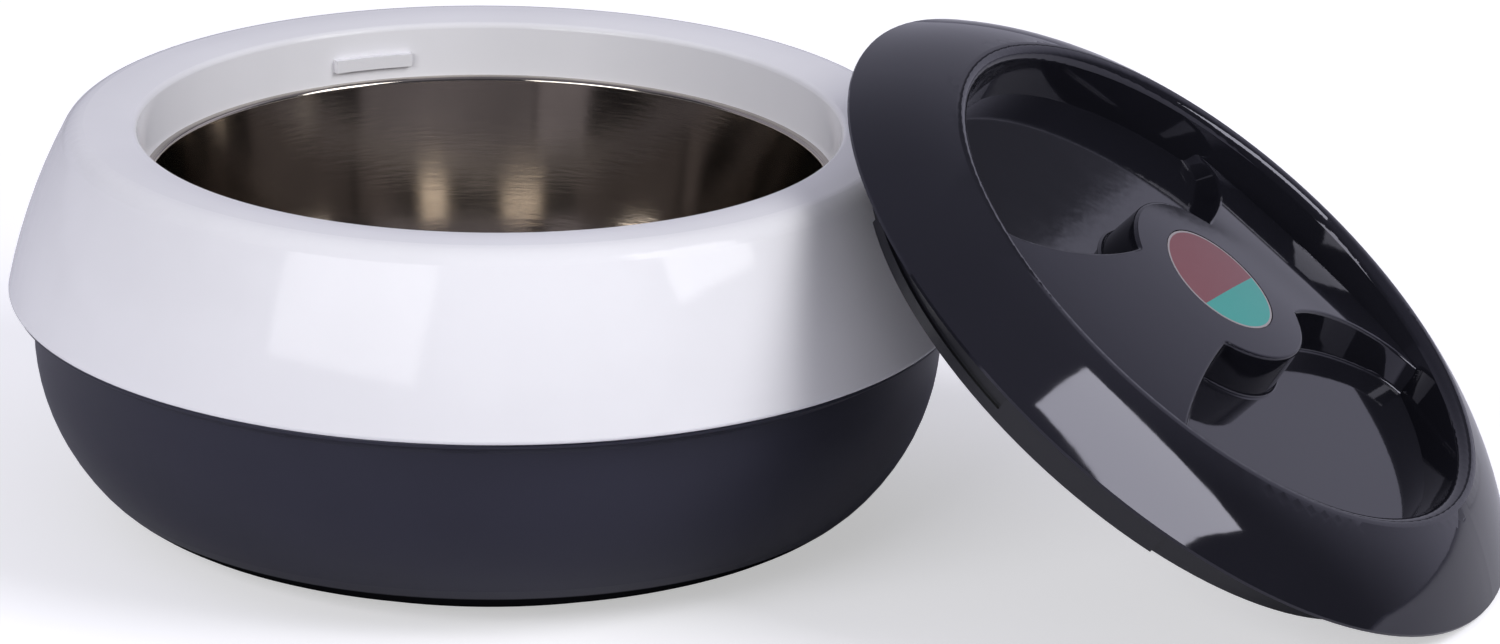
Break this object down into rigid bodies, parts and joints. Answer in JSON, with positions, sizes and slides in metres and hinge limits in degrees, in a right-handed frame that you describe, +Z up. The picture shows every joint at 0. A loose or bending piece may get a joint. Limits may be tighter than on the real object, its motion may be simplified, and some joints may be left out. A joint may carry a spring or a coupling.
{
  "type": "insulated casserole with twist-lock lid",
  "caption": "Round insulated casserole with a steel inner bowl, standing open, its twist-lock lid with an arched grip leaned against the collar.",
  "frame": {"origin": "middle of the bowl's foot, on the surface that the casserole stands on", "axes": "+Z up along the bowl's axis; +X towards the side where the leaned lid stands, the longest extent; +Y completes the right-handed frame"},
  "size_m": [0.4053, 0.2864, 0.136],
  "materials": {
    "foot_black": "matte",
    "shell_slate": "satin",
    "collar_white": "gloss",
    "bowl_steel": "polished",
    "foam_cream": "matte",
    "lid_charcoal": "gloss",
    "lid_inside": "satin",
    "badge_maroon": "gloss"
  },
  "bodies": {
    "bowl": {"base_cover": "foot_black", "base_fill_plug": "foot_black", "lower_shell": "shell_slate", "upper_collar": "collar_white", "steel_bowl": "bowl_steel", "body_foam": "foam_cream"},
    "lid_core": {"lid_foam": "foam_cream"},
    "lid": {"lid_cover": "lid_charcoal", "hub_badge": "badge_maroon", "lid_base": "lid_inside", "lid_fill_plug": "lid_inside"}
  },
  "joints": [
    {"name": "lid_lift", "type": "slide", "parent": "bowl", "child": "lid_core", "axis": [0.5636, -0.2256, 0.7946], "range_m": [0, 0.12]},
    {"name": "lid_twist", "type": "hinge", "parent": "lid_core", "child": "lid", "pos_m": [0.18368, -0.04873, 0.06801], "axis": [0.5636, -0.2256, 0.7946], "range_deg": [0, 43]}
  ]
}
